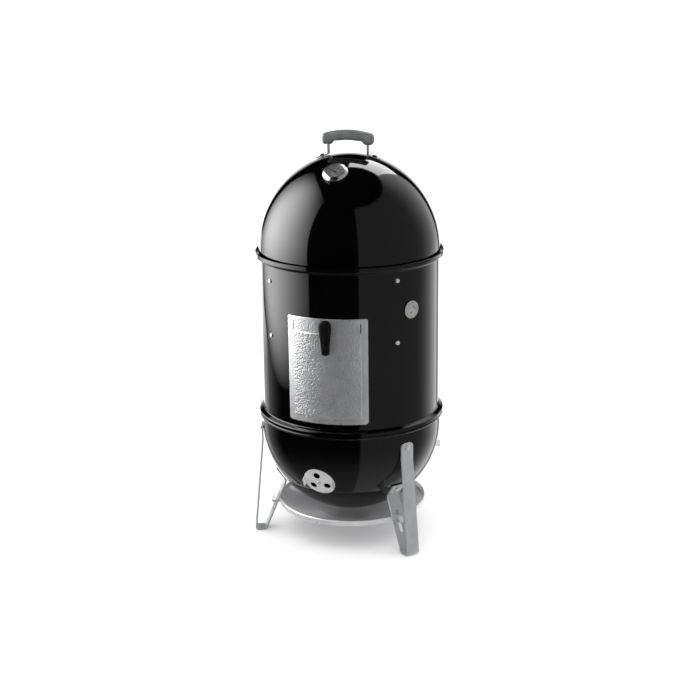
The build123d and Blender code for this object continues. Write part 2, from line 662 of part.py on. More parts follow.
def handle_foot_frame(side):
    """A frame on the dome where a foot of the handle's strap is bolted."""
    return dome_frame(90 * side, HANDLE_FOOT_X)


def handle_strap(slack=0.0):
    """The handle's bent strap; with some slack it is the hollow for it in the grip."""
    foot_z = DOME_BASE_Z + DOME_HEIGHT - CROWN_RADIUS + sqrt(CROWN_RADIUS**2 - HANDLE_FOOT_X**2)
    foot_z += HANDLE_STRAP_THICK / 2 + 0.8
    slope = HANDLE_FOOT_X / sqrt(CROWN_RADIUS**2 - HANDLE_FOOT_X**2)
    end_x = HANDLE_FOOT_X + HANDLE_FOOT_LENGTH / 2
    end = (end_x, foot_z - slope * (end_x - HANDLE_FOOT_X))
    heel = (STRAP_HALF_SPAN, foot_z + slope * (HANDLE_FOOT_X - STRAP_HALF_SPAN))
    right = [end, heel, (STRAP_HALF_SPAN, HANDLE_BAR_Z)]
    corners = right + [(-x, z) for x, z in reversed(right)]
    path = FilletPolyline(*corners, radius=[5, 5, 5, 5])
    section = make_face(offset(path, amount=HANDLE_STRAP_THICK / 2 + slack, side=Side.BOTH))
    return extrude(Plane.XZ * section, amount=HANDLE_STRAP_WIDTH / 2 + slack, both=True)


def lid_handle_bracket():
    """A flat steel strap: two feet on the dome, two uprights and a bar inside the grip."""
    holes = [handle_foot_frame(side) * Cylinder(LEG_BOLT_RADIUS + FIT, 30) for side in (-1, 1)]
    return handle_strap().cut(*holes)


def lid_handle_grip():
    """An arched moulded grip with deeper ends, hollowed for the strap."""
    half, neck = GRIP_HALF_LENGTH, GRIP_HALF_LENGTH - 24
    outline = make_face(
        [
            ThreePointArc((-half, GRIP_END_TOP_Z), (0, GRIP_TOP_Z), (half, GRIP_END_TOP_Z)),
            Line((half, GRIP_END_TOP_Z), (half - 2, GRIP_END_BOTTOM_Z)),
            Line((half - 2, GRIP_END_BOTTOM_Z), (neck + 3, GRIP_END_BOTTOM_Z)),
            Line((neck + 3, GRIP_END_BOTTOM_Z), (neck - 7, GRIP_BOTTOM_Z)),
            ThreePointArc((neck - 7, GRIP_BOTTOM_Z), (0, GRIP_BOTTOM_Z + 1.5), (7 - neck, GRIP_BOTTOM_Z)),
            Line((7 - neck, GRIP_BOTTOM_Z), (-neck - 3, GRIP_END_BOTTOM_Z)),
            Line((-neck - 3, GRIP_END_BOTTOM_Z), (2 - half, GRIP_END_BOTTOM_Z)),
            Line((2 - half, GRIP_END_BOTTOM_Z), (-half, GRIP_END_TOP_Z)),
        ]
    )
    grip = extrude(Plane.XZ * outline, amount=GRIP_DEPTH / 2, both=True)
    ends = grip.edges().filter_by(Axis.Y).group_by(Axis.X)
    grip = fillet(ends[0] + ends[-1], 5)
    grip = fillet(grip.faces().group_by(Axis.Y)[0].edges() + grip.faces().group_by(Axis.Y)[-1].edges(), 4)
    return grip - handle_strap(slack=0.15)


def lid_handle_bolts():
    one = Pos(0, 0, HANDLE_STRAP_THICK + 1.1) * bolt(6.0, 3.4, LEG_BOLT_RADIUS, 14)
    return [handle_foot_frame(side) * one for side in (-1, 1)]


def lid_handle_nuts():
    nut = hex_nut(11, 5, LEG_BOLT_RADIUS + FIT, top=-BOWL_SHEET - 0.4)
    return [handle_foot_frame(side) * nut for side in (-1, 1)]


def thermometer_frame():
    return dome_frame(0, THERMOMETER_PATH_RADIUS)


def thermometer_case():
    """A turned bezel cup: a broad sloping rim round a recess for the dial."""
    points = [
        (0, 0.4),
        (BEZEL_RADIUS, 0.4),
        (BEZEL_RADIUS, 4.0),
        (DIAL_RADIUS + 2.0, BEZEL_HEIGHT),
        (DIAL_RADIUS + 0.1, BEZEL_HEIGHT),
        (DIAL_RADIUS + 0.1, 5.0),
        (0, 5.0),
    ]
    case = revolve(Plane.XZ * make_face(Polyline(*points, close=True)), Axis.Z)
    return thermometer_frame() * case


def thermometer_dial():
    return thermometer_frame() * (rod(DIAL_RADIUS, 5.1, 6.1) - rod(1.0 + FIT, 4, 8))


def thermometer_needle():
    """The needle, its hub and the pivot that turns in the dial."""
    blade = Polyline((-1.3, -5), (1.3, -5), (0.5, 19), (-0.5, 19), close=True)
    needle = Pos(0, 0, 6.9) * extrude(make_face(blade), amount=0.6)
    needle = needle + rod(2.6, 6.7, 8.0) + rod(1.0, 5.3, 7.0)
    return thermometer_frame() * Rot(0, 0, 62) * needle


def thermometer_lens():
    return thermometer_frame() * rod(DIAL_RADIUS, BEZEL_HEIGHT - 2.4, BEZEL_HEIGHT - 0.8)


def thermometer_stem():
    """The threaded boss and thin probe that reach through the lid."""
    return thermometer_frame() * (rod(4.0, -13, 0.3) + rod(2.6, -PROBE_LENGTH, -12.9))


def thermometer_nut():
    return thermometer_frame() * hex_nut(15, 5, 4.0 + FIT, top=-BOWL_SHEET - 0.5)


# ---- every sub-part, by node name ----
def subparts():
    parts = {"charcoal_bowl": charcoal_bowl()}
    parts |= {f"leg_{name}": leg(azimuth) for name, azimuth in LEG_AZIMUTHS.items()}
    parts["leg_upper_bolts"] = leg_upper_bolts()
    parts["leg_lower_bolts"] = leg_lower_bolts()
    parts["leg_nuts"] = leg_nuts()
    parts["heat_shield"] = heat_shield()
    parts["heat_shield_tabs"] = shield_tabs()
    parts |= {f"bowl_damper_{name}": bowl_damper(name) for name in BOWL_DAMPER_AZIMUTHS}
    parts["bowl_damper_rivets"] = bowl_damper_rivets()
    parts["charcoal_grate"] = charcoal_grate()
    parts["charcoal_ring"] = charcoal_ring()
    parts["middle_section"] = middle_section()
    parts |= {f"grate_strap_{name}": grate_strap(name) for name in STRAP_AZIMUTHS}
    parts["grate_strap_bolts"] = strap_bolts()
    parts["grate_strap_nuts"] = strap_nuts()
    parts["temperature_grommet"] = temperature_grommet()
    parts["water_pan"] = water_pan()
    parts["lower_cooking_grate"] = lower_cooking_grate()
    parts["upper_cooking_grate"] = upper_cooking_grate()
    parts["access_door"] = access_door()
    parts["door_latch_handle"] = door_latch_handle()
    parts["door_latch_spindle"] = latch_spindle()
    parts["door_latch_tongue"] = latch_tongue()
    parts["door_latch_nut"] = latch_nut()
    parts["lid"] = lid()
    parts["lid_handle_bracket"] = lid_handle_bracket()
    parts["lid_handle_grip"] = lid_handle_grip()
    parts["lid_handle_bolts"] = lid_handle_bolts()
    parts["lid_handle_nuts"] = lid_handle_nuts()
    parts["lid_damper"] = lid_damper()
    parts["lid_damper_rivet"] = lid_damper_rivet()
    parts["thermometer_case"] = thermometer_case()
    parts["thermometer_dial"] = thermometer_dial()
    parts["thermometer_needle"] = thermometer_needle()
    parts["thermometer_lens"] = thermometer_lens()
    parts["thermometer_stem"] = thermometer_stem()
    parts["thermometer_nut"] = thermometer_nut()
    return parts


os.makedirs("parts", exist_ok=True)
for node, shape in subparts().items():
    whole = Compound(shape) if isinstance(shape, list) else shape
    export_step(whole, f"parts/{node}.step")
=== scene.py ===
import bmesh
import bpy
import json
from math import asin, atan2, cos, degrees, pi, radians, sin, sqrt
from mathutils import Matrix, Vector, noise


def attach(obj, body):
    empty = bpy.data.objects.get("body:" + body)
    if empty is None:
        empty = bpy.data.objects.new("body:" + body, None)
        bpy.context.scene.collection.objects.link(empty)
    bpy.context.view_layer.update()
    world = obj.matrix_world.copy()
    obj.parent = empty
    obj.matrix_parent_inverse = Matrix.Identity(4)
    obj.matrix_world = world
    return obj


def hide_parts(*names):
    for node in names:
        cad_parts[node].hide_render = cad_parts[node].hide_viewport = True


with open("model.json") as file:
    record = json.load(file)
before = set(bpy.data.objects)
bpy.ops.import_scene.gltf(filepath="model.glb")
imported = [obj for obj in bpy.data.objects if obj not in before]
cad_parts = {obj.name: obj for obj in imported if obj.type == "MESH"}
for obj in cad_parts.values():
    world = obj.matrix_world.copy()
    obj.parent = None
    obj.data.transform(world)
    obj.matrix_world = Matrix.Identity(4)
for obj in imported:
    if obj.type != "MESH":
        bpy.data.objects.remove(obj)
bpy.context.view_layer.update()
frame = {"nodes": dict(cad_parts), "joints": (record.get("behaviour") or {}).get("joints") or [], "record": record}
nodes = frame["nodes"]
joints = {j["name"]: j for j in frame["joints"]}
scene = bpy.context.scene
MM = 0.001
VIEW_AZIMUTH = 15.5          # the camera's azimuth round the smoker, from the door's side


# ---------------------------------------------------------------- mesh helpers
def smoothstep(edge0, edge1, x):
    """0 to 1 with a smooth start and end as x goes from edge0 to edge1."""
    t = min(1.0, max(0.0, (x - edge0) / (edge1 - edge0)))
    return t * t * (3 - 2 * t)


def mesh_object(name, verts, faces, sharp=38, frame_matrix=None):
    """A smooth-shaded object from vertices in millimetres, with creases kept sharp."""
    mesh = bpy.data.meshes.new(name)
    mesh.from_pydata([Vector(v) * MM for v in verts], [], faces)
    if frame_matrix is not None:
        mesh.transform(frame_matrix)
    finish_mesh(mesh, sharp)
    obj = bpy.data.objects.new(name, mesh)
    scene.collection.objects.link(obj)
    return obj


def finish_mesh(mesh, sharp):
    """Turns the faces outwards, smooths them and keeps edges above an angle sharp."""
    work = bmesh.new()
    work.from_mesh(mesh)
    bmesh.ops.recalc_face_normals(work, faces=work.faces)
    work.to_mesh(mesh)
    work.free()
    mesh.shade_smooth()
    mesh.set_sharp_from_angle(angle=radians(sharp))


def local_frame(origin, normal, x_dir):
    """A matrix whose z axis is the normal and whose x axis is x_dir, at an origin in metres."""
    z = Vector(normal).normalized()
    x = Vector(x_dir).normalized()
    y = z.cross(x)
    return Matrix((
        (x.x, y.x, z.x, origin[0]),
        (x.y, y.y, z.y, origin[1]),
        (x.z, y.z, z.z, origin[2]),
        (0, 0, 0, 1),
    ))


def joint_frame(name):
    """The frame of a hinge joint: z along its axis, x level."""
    joint = joints[name]
    axis = Vector(joint["axis"]).normalized()
    level = Vector((0, 0, 1)).cross(axis)
    if level.length < 1e-6:
        level = Vector((1, 0, 0))
    return local_frame(joint["pos_m"], axis, level)


def arc(cx, cy, r, a0, a1, n):
    """Points on an arc from a0 to a1 degrees, in n steps."""
    angles = [radians(a0 + (a1 - a0) * i / n) for i in range(n + 1)]
    return [(cx + r * cos(a), cy + r * sin(a)) for a in angles]


def rounded_path(points, radii, n=6):
    """A 2-D path with its inner corners rounded."""
    out = [points[0]]
    for i in range(1, len(points) - 1):
        a, b, c = (Vector(points[j]) for j in (i - 1, i, i + 1))
        u, v = (a - b).normalized(), (c - b).normalized()
        half = u.angle(v) / 2
        r = radii[i - 1]
        reach = min(r / max(1e-6, (sin(half) / cos(half))), (a - b).length * 0.49, (c - b).length * 0.49)
        r = reach * sin(half) / cos(half)
        centre = b + (u + v).normalized() * (r / sin(half))
        start, end = b + u * reach, b + v * reach
        a0 = atan2(start.y - centre.y, start.x - centre.x)
        a1 = atan2(end.y - centre.y, end.x - centre.x)
        turn = (a1 - a0 + pi) % (2 * pi) - pi
        for k in range(n + 1):
            t = a0 + turn * k / n
            out.append((centre.x + r * cos(t), centre.y + r * sin(t)))
    out.append(points[-1])
    return out


def thickened(path, thickness):
    """A closed outline round a 2-D path, with rounded ends."""
    left, right = [], []
    last = len(path) - 1
    for i, p in enumerate(path):
        a = Vector(path[max(0, i - 1)])
        b = Vector(path[min(last, i + 1)])
        d = (b - a).normalized()
        normal = Vector((-d.y, d.x)) * thickness / 2
        left.append((p[0] + normal.x, p[1] + normal.y))
        right.append((p[0] - normal.x, p[1] - normal.y))
    d0 = (Vector(path[0]) - Vector(path[1])).normalized() * thickness / 2.4
    d1 = (Vector(path[-1]) - Vector(path[-2])).normalized() * thickness / 2.4
    tip0 = (path[0][0] + d0.x, path[0][1] + d0.y)
    tip1 = (path[-1][0] + d1.x, path[-1][1] + d1.y)
    return left + [tip1] + right[::-1] + [tip0]


def split_long(path, longest):
    """Adds points on a closed outline's long sides, so that its quads stay small."""
    out = []
    for i, a in enumerate(path):
        b = path[(i + 1) % len(path)]
        out.append(a)
        length = sqrt((b[0] - a[0]) ** 2 + (b[1] - a[1]) ** 2)
        count = int(length / longest)
        for k in range(1, count + 1):
            t = k / (count + 1)
            out.append((a[0] + (b[0] - a[0]) * t, a[1] + (b[1] - a[1]) * t))
    return out


def lathe_data(profile, segments):
    """Vertices and faces of a closed (radius, height) outline turned about the Z axis."""
    verts, rows, faces = [], [], []
    for r, z in profile:
        if r < 1e-4:
            rows.append([len(verts)] * segments)
            verts.append((0, 0, z))
        else:
            rows.append(list(range(len(verts), len(verts) + segments)))
            for k in range(segments):
                angle = 2 * pi * k / segments
                verts.append((r * cos(angle), r * sin(angle), z))
    for i in range(len(rows)):
        a, b = rows[i], rows[(i + 1) % len(rows)]
        for k in range(segments):
            m = (k + 1) % segments
            loop = []
            for v in (a[k], a[m], b[m], b[k]):
                if v not in loop:
                    loop.append(v)
            if len(loop) > 2:
                faces.append(loop)
    return verts, faces


def lathe(name, profile, segments, sharp=38, frame_matrix=None):
    """An object turned from a closed (radius, height) outline."""
    verts, faces = lathe_data(profile, segments)
    return mesh_object(name, verts, faces, sharp, frame_matrix)


def drill(obj, cutters, sharp=38):
    """Cuts the cutters out of obj and removes them."""
    for cutter in cutters:
        modifier = obj.modifiers.new("cut", "BOOLEAN")
        modifier.operation = "DIFFERENCE"
        modifier.solver = "EXACT"
        modifier.object = cutter
    bpy.context.view_layer.update()
    mesh = bpy.data.meshes.new_from_object(obj.evaluated_get(bpy.context.evaluated_depsgraph_get()))
    obj.modifiers.clear()
    old, obj.data = obj.data, mesh
    bpy.data.meshes.remove(old)
    for cutter in cutters:
        bpy.data.objects.remove(cutter)
    finish_mesh(mesh, sharp)


def cutter_rod(radius, length, matrix, x=0.0, y=0.0):
    """A rod along the frame's z axis, for cutting a round hole."""
    profile = [(0, -length / 2), (radius, -length / 2), (radius, length / 2), (0, length / 2)]
    verts, faces = lathe_data(profile, 40)
    verts = [(v[0] + x, v[1] + y, v[2]) for v in verts]
    return mesh_object("cutter", verts, faces, frame_matrix=matrix)


def box_data(low, high):
    """Vertices and faces of a box between two corners."""
    x0, y0, z0 = low
    x1, y1, z1 = high
    verts = [(x0, y0, z0), (x1, y0, z0), (x1, y1, z0), (x0, y1, z0)]
    verts += [(x0, y0, z1), (x1, y0, z1), (x1, y1, z1), (x0, y1, z1)]
    faces = [(0, 3, 2, 1), (4, 5, 6, 7), (0, 1, 5, 4), (1, 2, 6, 5), (2, 3, 7, 6), (3, 0, 4, 7)]
    return verts, faces


def joined(parts):
    """Several (vertices, faces) as one."""
    verts, faces = [], []
    for v, f in parts:
        base = len(verts)
        verts += list(v)
        faces += [[i + base for i in face] for face in f]
    return verts, faces


def bevel(obj, width):
    """Rounds the object's sharp edges."""
    modifier = obj.modifiers.new("edge", "BEVEL")
    modifier.width = width * MM
    modifier.segments = 2
    modifier.limit_method = "ANGLE"
    modifier.angle_limit = radians(40)
    modifier.harden_normals = False
    modifier.use_clamp_overlap = True


def loft_data(sections):
    """Vertices and faces of a closed tube through rings of points, with its ends capped."""
    count = len(sections[0])
    verts = [p for ring in sections for p in ring]
    faces = []
    for i in range(len(sections) - 1):
        for k in range(count):
            m = (k + 1) % count
            faces.append((i * count + k, i * count + m, (i + 1) * count + m, (i + 1) * count + k))
    faces.append(tuple(range(count))[::-1])
    faces.append(tuple(range((len(sections) - 1) * count, len(sections) * count)))
    return verts, faces


def super_ring(half_a, half_b, power, count=32):
    """Points of a superellipse: a circle at power 2, nearly a rectangle at power 6."""
    ring = []
    for k in range(count):
        t = 2 * pi * (k + 0.5) / count
        across = abs(cos(t)) ** (2 / power) * (1 if cos(t) > 0 else -1)
        up = abs(sin(t)) ** (2 / power) * (1 if sin(t) > 0 else -1)
        ring.append((half_a * across, half_b * up))
    return ring


# ---------------------------------------------------------------- materials
class Shader:
    """A Principled material with object-space textures."""

    def __init__(self, name, colour, metallic=0.0, roughness=0.5, ior=1.5, specular=0.5):
        self.material = bpy.data.materials.new(name)
        self.material.use_nodes = True
        self.tree = self.material.node_tree
        self.bsdf = self.tree.nodes["Principled BSDF"]
        self.put("Base Color", (*colour, 1))
        self.put("Metallic", metallic)
        self.put("Roughness", roughness)
        self.put("IOR", ior)
        self.put("Specular IOR Level", specular)
        self.coords = self.tree.nodes.new("ShaderNodeTexCoord").outputs["Object"]
        self.normal = None

    def put(self, socket, value):
        self.bsdf.inputs[socket].default_value = value

    def link(self, a, b):
        self.tree.links.new(a, b)

    def node(self, kind, **inputs):
        made = self.tree.nodes.new(kind)
        for key, value in inputs.items():
            made.inputs[key.replace("_", " ")].default_value = value
        return made

    def noise(self, scale, detail=3.0, roughness=0.55, stretch=(1, 1, 1)):
        mapping = self.node("ShaderNodeMapping", Scale=stretch)
        self.link(self.coords, mapping.inputs["Vector"])
        made = self.node("ShaderNodeTexNoise", Scale=scale, Detail=detail, Roughness=roughness)
        self.link(mapping.outputs["Vector"], made.inputs["Vector"])
        return made.outputs["Fac"]

    def cells(self, scale):
        made = self.node("ShaderNodeTexVoronoi", Scale=scale)
        self.link(self.coords, made.inputs["Vector"])
        return made.outputs["Distance"]

    def ranged(self, value, low, high, from_low=0.3, from_high=0.7):
        made = self.node("ShaderNodeMapRange")
        limits = {"From Min": from_low, "From Max": from_high, "To Min": low, "To Max": high}
        for key, number in limits.items():
            made.inputs[key].default_value = number
        self.link(value, made.inputs["Value"])
        return made.outputs["Result"]

    def vary_roughness(self, value, low, high, from_low=0.3, from_high=0.7):
        self.link(self.ranged(value, low, high, from_low, from_high), self.bsdf.inputs["Roughness"])

    def vary_colour(self, value, dark, light, from_low=0.3, from_high=0.7):
        ramp = self.tree.nodes.new("ShaderNodeMix")
        ramp.data_type = "RGBA"
        ramp.inputs[6].default_value = (*dark, 1)
        ramp.inputs[7].default_value = (*light, 1)
        self.link(self.ranged(value, 0, 1, from_low, from_high), ramp.inputs[0])
        self.link(ramp.outputs[2], self.bsdf.inputs["Base Color"])

    def bump(self, value, strength, distance):
        made = self.node("ShaderNodeBump", Strength=strength, Distance=distance * MM)
        self.link(value, made.inputs["Height"])
        if self.normal is not None:
            self.link(self.normal, made.inputs["Normal"])
        self.normal = made.outputs["Normal"]
        self.link(self.normal, self.bsdf.inputs["Normal"])


def enamel():
    s = Shader("porcelain_enamel", (0.0009, 0.0009, 0.001), roughness=0.06, ior=1.5, specular=0.5)
    s.vary_colour(s.noise(7, 4), (0.0006, 0.0006, 0.0007), (0.0014, 0.0014, 0.0016))
    s.vary_roughness(s.noise(22, 5, 0.65), 0.035, 0.085)
    s.bump(s.noise(160, 2), 0.05, 0.12)
    return s.material


def leg_aluminium():
    s = Shader("leg_aluminium", (0.52, 0.53, 0.55), metallic=0.6, roughness=0.42)
    s.vary_colour(s.noise(26, 6, 0.7), (0.45, 0.46, 0.475), (0.59, 0.60, 0.62))
    s.vary_roughness(s.noise(40, 5, 0.7), 0.34, 0.56)
    s.bump(s.noise(900, 2, 0.6, (1, 1, 0.06)), 0.18, 0.10)
    s.bump(s.noise(60, 4), 0.12, 0.25)
    return s.material


def shield_aluminium():
    s = Shader("shield_aluminium", (0.76, 0.76, 0.78), metallic=0.5, roughness=0.36)
    s.vary_colour(s.noise(13, 6, 0.7), (0.66, 0.66, 0.68), (0.86, 0.86, 0.88))
    s.vary_roughness(s.noise(30, 5, 0.7), 0.26, 0.48)
    s.bump(s.noise(14, 3), 0.30, 1.6)
    s.bump(s.noise(420, 3, 0.7), 0.14, 0.10)
    return s.material


def damper_aluminium():
    s = Shader("damper_aluminium", (0.84, 0.84, 0.84), metallic=0.6, roughness=0.34)
    s.vary_colour(s.noise(60, 5, 0.7), (0.74, 0.74, 0.74), (0.90, 0.90, 0.90))
    s.vary_roughness(s.noise(90, 5, 0.7), 0.28, 0.46)
    s.bump(s.noise(900, 2, 0.6, (0.08, 1, 1)), 0.16, 0.08)
    return s.material


def door_aluminium():
    s = Shader("door_aluminium", (0.64, 0.645, 0.66), metallic=0.8, roughness=0.22)
    s.vary_colour(s.noise(18, 6, 0.7), (0.56, 0.565, 0.58), (0.72, 0.725, 0.74))
    s.vary_roughness(s.noise(70, 5, 0.7), 0.24, 0.42)
    s.bump(s.noise(700, 3, 0.6), 0.12, 0.10)
    return s.material


def zinc_steel():
    s = Shader("zinc_steel", (0.84, 0.84, 0.83), metallic=0.8, roughness=0.32)
    s.vary_colour(s.noise(120, 4, 0.6), (0.76, 0.76, 0.75), (0.90, 0.90, 0.89))
    s.vary_roughness(s.noise(220, 4, 0.6), 0.18, 0.36)
    s.bump(s.noise(1500, 2), 0.10, 0.04)
    return s.material


def plated_wire():
    s = Shader("plated_wire", (0.72, 0.71, 0.69), metallic=1.0, roughness=0.16)
    s.vary_colour(s.noise(45, 4, 0.6), (0.60, 0.59, 0.57), (0.78, 0.77, 0.75))
    s.vary_roughness(s.noise(150, 4, 0.6), 0.10, 0.30)
    s.bump(s.noise(800, 2), 0.10, 0.05)
    return s.material


def bare_steel():
    s = Shader("bare_steel", (0.36, 0.35, 0.34), metallic=1.0, roughness=0.48)
    s.vary_colour(s.noise(38, 6, 0.7), (0.24, 0.22, 0.20), (0.44, 0.43, 0.42))
    s.vary_roughness(s.noise(90, 5, 0.7), 0.38, 0.62)
    s.bump(s.noise(500, 4, 0.7), 0.25, 0.10)
    return s.material


def galvanised_steel():
    s = Shader("galvanised_steel", (0.55, 0.56, 0.57), metallic=1.0, roughness=0.40)
    s.vary_colour(s.cells(90), (0.44, 0.45, 0.46), (0.64, 0.65, 0.66), 0.0, 0.8)
    s.vary_roughness(s.cells(90), 0.30, 0.52, 0.0, 0.8)
    s.bump(s.noise(300, 3), 0.12, 0.08)
    return s.material


def nylon(name, dark, light, roughness, specular=0.5):
    s = Shader(name, light, roughness=roughness, ior=1.5, specular=specular)
    s.vary_colour(s.noise(60, 5, 0.6), dark, light)
    s.vary_roughness(s.noise(120, 4, 0.6), roughness - 0.06, roughness + 0.08)
    s.bump(s.cells(1100), 0.22, 0.12)
    return s.material


def silicone():
    s = Shader("silicone", (0.28, 0.28, 0.27), roughness=0.46, ior=1.42, specular=0.5)
    s.vary_colour(s.noise(90, 5, 0.6), (0.20, 0.20, 0.19), (0.26, 0.26, 0.25))
    s.vary_roughness(s.noise(140, 4), 0.40, 0.56)
    s.bump(s.noise(700, 3), 0.14, 0.08)
    return s.material


def chrome_bezel():
    s = Shader("chrome_bezel", (0.86, 0.86, 0.87), metallic=1.0, roughness=0.20)
    s.vary_roughness(s.noise(150, 5, 0.6), 0.15, 0.26)
    s.bump(s.noise(900, 2), 0.04, 0.04)
    return s.material


def dial_face():
    s = Shader("dial_face", (0.22, 0.22, 0.225), metallic=0.3, roughness=0.42)
    s.vary_colour(s.noise(200, 3), (0.19, 0.19, 0.195), (0.25, 0.25, 0.255))
    s.bump(s.noise(1600, 2), 0.10, 0.04)
    return s.material


def needle_black():
    s = Shader("needle_black", (0.012, 0.012, 0.012), roughness=0.40)
    s.vary_colour(s.noise(400, 3), (0.009, 0.009, 0.009), (0.018, 0.018, 0.018))
    s.bump(s.noise(1800, 2), 0.08, 0.03)
    return s.material


def dial_glass():
    s = Shader("dial_glass", (0.02, 0.02, 0.02), roughness=0.02, ior=1.5)
    s.put("Alpha", 0.10)
    s.vary_roughness(s.noise(120, 4), 0.01, 0.05)
    s.bump(s.noise(60, 2), 0.02, 0.02)
    return s.material


materials = {
    "enamel": enamel(),
    "leg_aluminium": leg_aluminium(),
    "shield_aluminium": shield_aluminium(),
    "damper_aluminium": damper_aluminium(),
    "door_aluminium": door_aluminium(),
    "zinc_steel": zinc_steel(),
    "plated_wire": plated_wire(),
    "bare_steel": bare_steel(),
    "galvanised_steel": galvanised_steel(),
    "nylon_black": nylon("nylon_black", (0.002, 0.002, 0.0023), (0.004, 0.004, 0.0045), 0.42, 0.16),
    "nylon_grey": nylon("nylon_grey", (0.075, 0.078, 0.080), (0.12, 0.125, 0.13), 0.44),
    "silicone": silicone(),
    "chrome_bezel": chrome_bezel(),
    "dial_face": dial_face(),
    "needle_black": needle_black(),
    "dial_glass": dial_glass(),
}
for part in frame["record"]["subparts"]:
    data = nodes[part["node"]].data
    data.materials.clear()
    data.materials.append(materials[part["material_slot"]])

# the lid handle's strap and fastenings are given darker finishes than the drum's zinc plated bolts: painted shade,
# standing in for the dark enamel lid that they reflect
nodes["lid_handle_bracket"].data.materials[0] = materials["bare_steel"]
for name in ("lid_handle_bolts", "lid_handle_nuts"):
    nodes[name].data.materials[0] = materials["needle_black"]


def place(obj, body, slot, *replaced):
    """Gives a new piece its material, body and the CAD nodes it stands for."""
    obj.data.materials.clear()
    obj.data.materials.append(materials[slot])
    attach(obj, body)
    if replaced:
        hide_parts(*replaced)
    return obj


# ---------------------------------------------------------------- camera
# metres from the smoker's axis and from the floor, and degrees from level at the axis
DISTANCE, EYE_HEIGHT = 3.3932, 1.4646
PAN, TILT, ROLL = 0.115, -16.11, -0.74
camera_data = bpy.data.cameras.new("camera")
camera_data.lens = 71.35
camera_data.sensor_width = 36
camera_data.dof.use_dof = False
camera_data.clip_start, camera_data.clip_end = 0.05, 400
camera = bpy.data.objects.new("camera", camera_data)
scene.collection.objects.link(camera)
turn = radians(VIEW_AZIMUTH)
aim = Matrix.Rotation(radians(VIEW_AZIMUTH + PAN), 4, "Z")
aim = aim @ Matrix.Rotation(radians(90 + TILT), 4, "X") @ Matrix.Rotation(radians(ROLL), 4, "Z")
eye = Matrix.Translation((DISTANCE * sin(turn), -DISTANCE * cos(turn), EYE_HEIGHT))
camera.matrix_world = eye @ aim
scene.camera = camera
scene.view_settings.view_transform = "Standard"
scene.view_settings.look = "None"


# ---------------------------------------------------------------- studio
class Maths:
    """Short names for math nodes in a node tree."""

    def __init__(self, tree):
        self.tree = tree

    def op(self, kind, a, b=0.0, clamp=False):
        made = self.tree.nodes.new("ShaderNodeMath")
        made.operation = kind
        made.use_clamp = clamp
        for socket, value in zip(made.inputs, (a, b)):
            if isinstance(value, (int, float)):
                socket.default_value = value
            else:
                self.tree.links.new(value, socket)
        return made.outputs[0]

    def step(self, value, low, high):
        made = self.tree.nodes.new("ShaderNodeMapRange")
        made.interpolation_type = "SMOOTHSTEP"
        made.inputs["From Min"].default_value = low
        made.inputs["From Max"].default_value = high
        self.tree.links.new(value, made.inputs["Value"])
        return made.outputs["Result"]

    def fall(self, value, low, high):
        return self.op("SUBTRACT", 1.0, self.step(value, low, high))

    def times(self, *values):
        total = values[0]
        for value in values[1:]:
            total = self.op("MULTIPLY", total, value)
        return total

    def plus(self, *values):
        total = values[0]
        for value in values[1:]:
            total = self.op("ADD", total, value)
        return total


def make_world():
    """White behind the smoker, an even soft fill, and a dark studio with a dim wall on the right."""
    world = bpy.data.worlds.new("studio")
    scene.world = world
    world.use_nodes = True
    tree = world.node_tree
    m = Maths(tree)
    background = tree.nodes["Background"]
    direction = tree.nodes.new("ShaderNodeTexCoord").outputs["Generated"]
    rotate = tree.nodes.new("ShaderNodeVectorRotate")
    rotate.rotation_type = "Z_AXIS"
    rotate.inputs["Angle"].default_value = -radians(VIEW_AZIMUTH)
    tree.links.new(direction, rotate.inputs["Vector"])
    split = tree.nodes.new("ShaderNodeSeparateXYZ")
    tree.links.new(rotate.outputs["Vector"], split.inputs["Vector"])
    x, y, z = split.outputs
    azimuth = m.times(m.op("ARCTAN2", x, m.times(y, -1.0)), 180 / pi)
    height = m.times(m.op("ARCSINE", z), 180 / pi)
    behind = m.op("ABSOLUTE", azimuth)
    wall = m.times(m.step(azimuth, 9.5, 12.5), m.fall(azimuth, 147, 152), m.fall(height, 54, 57))
    wall_light = m.plus(0.27, m.step(azimuth, 92, 150))
    back = m.times(m.step(behind, 158, 166), m.fall(height, 8, 20), 1.3)
    floor_light = m.times(m.fall(height, -62, -24), 0.2)
    side = m.times(m.step(behind, 100, 150), m.fall(height, -14, -2), 0.5)
    low_light = m.plus(0.3, m.times(1.3, m.step(height, -17, -13)))
    low_left = m.times(m.fall(azimuth, -142, -136), m.fall(height, -7, -5), low_light)
    glossy = m.plus(m.times(wall, wall_light), back, floor_light, side, low_left)
    path = tree.nodes.new("ShaderNodeLightPath")
    camera_ray, diffuse_ray = path.outputs["Is Camera Ray"], path.outputs["Is Diffuse Ray"]
    other = m.op("SUBTRACT", 1.0, m.plus(camera_ray, diffuse_ray), clamp=True)
    soft = m.plus(0.82, m.times(1.2, m.step(height, 5, 70)))
    strength = m.plus(camera_ray, m.times(diffuse_ray, soft), m.times(other, glossy))
    tree.links.new(strength, background.inputs["Strength"])
    background.inputs["Color"].default_value = (1, 1, 1, 1)


